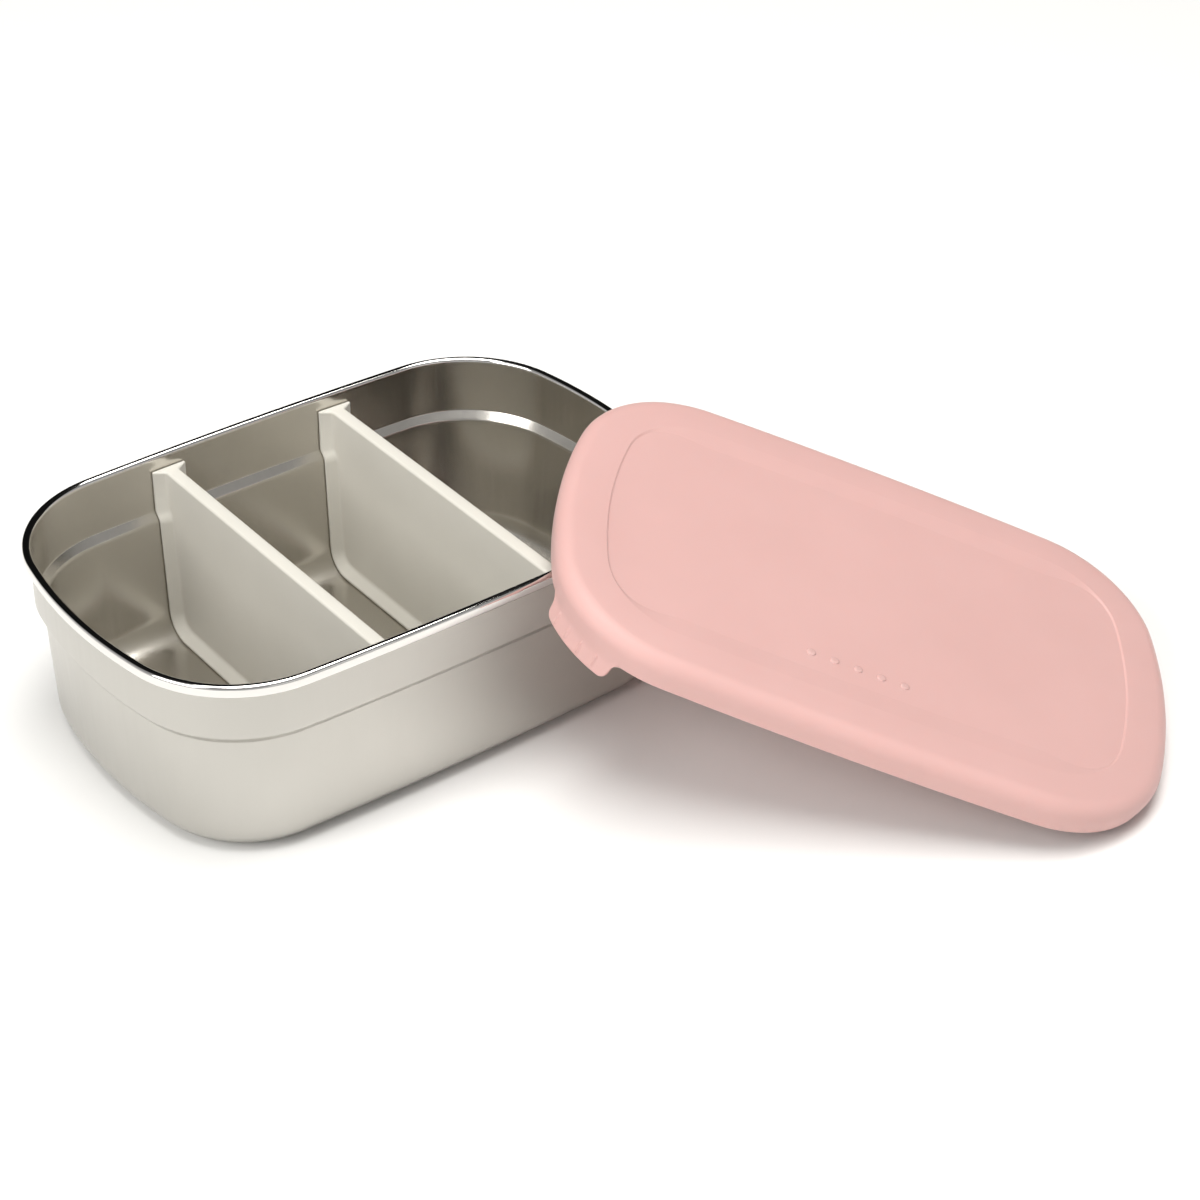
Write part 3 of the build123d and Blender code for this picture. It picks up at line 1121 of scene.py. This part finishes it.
    def dots(self) -> list[np.ndarray]:
        """Plain raised dots: each a turned profile, height * (1 - (r / radius)^power) over a flat back.

        Returns:
            One grid of points for each dot, in the lid's own frame.
        """
        share = np.linspace(1, 0, self.dot_rings)
        rise = self.dot_height * (1 - share**self.dot_power)
        radius = np.concatenate([[0.0], self.dot_radius * share])
        height = np.concatenate([[-self.dot_back], [-self.dot_back], rise[1:]])
        turn = np.linspace(0, 2 * math.pi, self.dot_turns)[:, None]
        ring = np.stack([radius * np.cos(turn), radius * np.sin(turn), 0 * turn + height], axis=-1)
        first = self.dot_centre_x - (self.dot_count - 1) / 2 * self.dot_pitch
        spots = first + self.dot_pitch * np.arange(self.dot_count)
        y = -(self.plan.rim_width / 2 - self.dot_inset)
        return [ring + np.array([x, y, -self.panel_sink]) for x in spots]

    def build(self, finish: bpy.types.Material) -> bpy.types.Object:
        """Closes panel and underside with shrinking rings and lays the lid where the frame has it.

        Args:
            finish: The silicone.

        Returns:
            The lid.
        """
        grid = self.surface()
        skin = Skin(Body.LID.value + "_moulding")
        skin.add(self.pose.place(grid), wrap=True)
        rings = np.array((1.0, *self.inner_rings))[:, None]
        for column in (0, -1):
            disc = grid[:, column][:, None] * np.concatenate([rings, rings, np.ones_like(rings)], axis=1)
            skin.add(self.pose.place(disc), wrap=True)
        for dot in self.dots():
            skin.add(self.pose.place(dot))
        return skin.build([finish], crease=60.0)


# ------------------------------------------------------------------------------------------- studio
@dataclass(frozen=True)
class View:
    """Camera: where it looks from, how far away, and how it is tilted."""

    azimuth: float = math.radians(-38.62)
    elevation: float = math.radians(34.77)
    roll: float = math.radians(1.19)
    distance: float = 817.9
    target_right: float = 69.8
    target_up: float = 23.4
    lens: float = 82.51
    sensor: float = 36.0
    nearest: float = 0.05

    def place(self) -> bpy.types.Object:
        """Makes the scene's camera: it backs away from the target along its own +Z axis.

        Returns:
            The camera.
        """
        flat, high = math.cos(self.elevation), math.sin(self.elevation)
        across, ahead = math.sin(self.azimuth), math.cos(self.azimuth)
        back = np.array([across * flat, -ahead * flat, high])
        level = np.array([ahead, across, 0.0])
        rise = np.cross(back, level)
        right = level * math.cos(self.roll) + rise * math.sin(self.roll)
        up = rise * math.cos(self.roll) - level * math.sin(self.roll)
        eye = right * self.target_right + up * self.target_up + back * self.distance
        data = bpy.data.cameras.new("view")
        data.lens = self.lens
        data.sensor_width = self.sensor
        data.clip_start = self.nearest
        camera = bpy.data.objects.new("view", data)
        matrix = Matrix.Identity(4)
        for column, axis in enumerate((right, up, back, eye * MM)):
            for row in range(3):
                matrix[row][column] = axis[row]
        camera.matrix_world = matrix
        bpy.context.scene.collection.objects.link(camera)
        bpy.context.scene.camera = camera
        return camera


@dataclass(frozen=True)
class SoftBox:
    """A rectangular soft light that faces a point."""

    name: str
    place: tuple[float, float, float]
    size: tuple[float, float]
    power: float
    tint: tuple[float, float, float] = (1.0, 0.985, 0.96)
    aim: tuple[float, float, float] = (0.03, -0.04, 0.03)

    def make(self) -> bpy.types.Object:
        """Makes the light.

        Returns:
            The light.
        """
        data = bpy.data.lights.new(self.name, "AREA")
        data.shape = "RECTANGLE"
        data.size, data.size_y = self.size
        data.energy = self.power
        data.color = self.tint
        lamp = bpy.data.objects.new(self.name, data)
        lamp.location = self.place
        lamp.rotation_euler = (Vector(self.aim) - Vector(self.place)).to_track_quat("-Z", "Y").to_euler()
        bpy.context.scene.collection.objects.link(lamp)
        return lamp


@dataclass
class Studio:
    """Plain pale table, a room that is dark behind the box, and soft lights."""

    floor_half: float = 3.0
    floor_tone: tuple[float, float, float] = (0.88, 0.88, 0.87)
    floor_roughness: float = 0.9
    room_stops: tuple[tuple[float, float], ...] = (
        (0.0, 0.6), (0.22, 0.6), (0.42, 0.3), (0.78, 0.35), (0.92, 1.0)
    )
    dark_side: tuple[float, float, float] = (0.513, 0.642, 0.57)
    dark_stops: tuple[tuple[float, float], ...] = ((0.0, 1.0), (0.38, 1.0), (0.46, 0.02), (1.0, 0.02))
    lights: tuple[SoftBox, ...] = (
        SoftBox("left", (-1.6, -0.1, 1.15), (1.2, 0.9), 18.5),
        SoftBox("overhead", (0.05, -0.12, 1.7), (1.5, 0.9), 31.0),
        SoftBox("front", (0.2, -1.7, 0.9), (1.2, 0.5), 0.8),
    )

    def floor(self) -> bpy.types.Object:
        """Makes the table top.

        Returns:
            The table top.
        """
        half = self.floor_half
        mesh = bpy.data.meshes.new("table")
        corners = [(-half, -half, 0), (half, -half, 0), (half, half, 0), (-half, half, 0)]
        mesh.from_pydata(corners, [], [(0, 1, 2, 3)])
        material, _, shader = new_material("table")
        shader.inputs["Base Color"].default_value = (*self.floor_tone, 1)
        shader.inputs["Roughness"].default_value = self.floor_roughness
        mesh.materials.append(material)
        table = bpy.data.objects.new("table", mesh)
        bpy.context.scene.collection.objects.link(table)
        return table

    def surroundings(self) -> bpy.types.World:
        """Makes the world: brightness runs with height, and the side behind the box is dark.

        Returns:
            The world.
        """
        world = bpy.data.worlds.new("room")
        world.use_nodes = True
        tree = world.node_tree
        bench = NodeBench(tree)
        ground = next(node for node in tree.nodes if node.type == "BACKGROUND")
        source = bench.add("ShaderNodeTexCoord")
        split = bench.add("ShaderNodeSeparateXYZ")
        bench.link(source.outputs["Generated"], split.inputs["Vector"])
        height = bench.ramp(split.outputs["Z"], self.room_stops)
        facing = bench.add("ShaderNodeVectorMath", operation="DOT_PRODUCT")
        facing.inputs[1].default_value = Vector(self.dark_side).normalized()
        bench.link(source.outputs["Generated"], facing.inputs[0])
        side = bench.ramp(facing.outputs["Value"], self.dark_stops)
        both = bench.add("ShaderNodeVectorMath", operation="MULTIPLY")
        bench.link(height, both.inputs[0])
        bench.link(side, both.inputs[1])
        bench.link(both.outputs["Vector"], ground.inputs["Color"])
        bpy.context.scene.world = world
        return world

    def make(self) -> None:
        """Makes the table, the surroundings and the lights."""
        self.floor()
        self.surroundings()
        for light in self.lights:
            light.make()
        scene = bpy.context.scene
        scene.view_settings.view_transform = "Standard"


# --------------------------------------------------------------------------------------------- main
def dress(piece: bpy.types.Object, body: Body, slot: Slot) -> None:
    """Ties a finished piece to the frame.

    Args:
        piece: The piece.
        body: The body it rides on, whose node it stands for.
        slot: The record's material slot.
    """
    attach(piece, body.value)
    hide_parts(body.value)
    LOG.info("%s rides on %s and takes its finish from %s", piece.name, body.value, slot.value)


def main() -> None:
    """Builds the four pieces around the frame, then the studio and the camera."""
    logging.basicConfig(level=logging.INFO, format="%(message)s")
    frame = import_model()
    low, high = (np.array(corner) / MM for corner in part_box(Body.TUB.value))
    plan = Plan(rim_length=high[0] - low[0], rim_width=high[1] - low[1])
    tub = Tub(plan, height=high[2])
    steels = [finish.make() for finish in (SATIN_STEEL, POLISHED_STEEL, BRUSHED_STEEL)]
    dress(tub.build(steels), Body.TUB, Slot.STEEL)
    grey = DIVIDER_SILICONE.make()
    for body in (Body.LEFT_DIVIDER, Body.RIGHT_DIVIDER):
        start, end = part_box(body.value)
        divider = Divider(tub, (start.x + end.x) / 2 / MM, body)
        dress(divider.build(grey), body, Slot.DIVIDER)
    pose = Pose.of_plate(frame["nodes"][Body.LID.value])
    lid = Lid(plan, tub.curl_depth, tub.curl_height, tub.wall_inset, pose)
    dress(lid.build(LID_SILICONE.make()), Body.LID, Slot.LID)
    Studio().make()
    View().place()


if __name__ == "__main__":
    main()
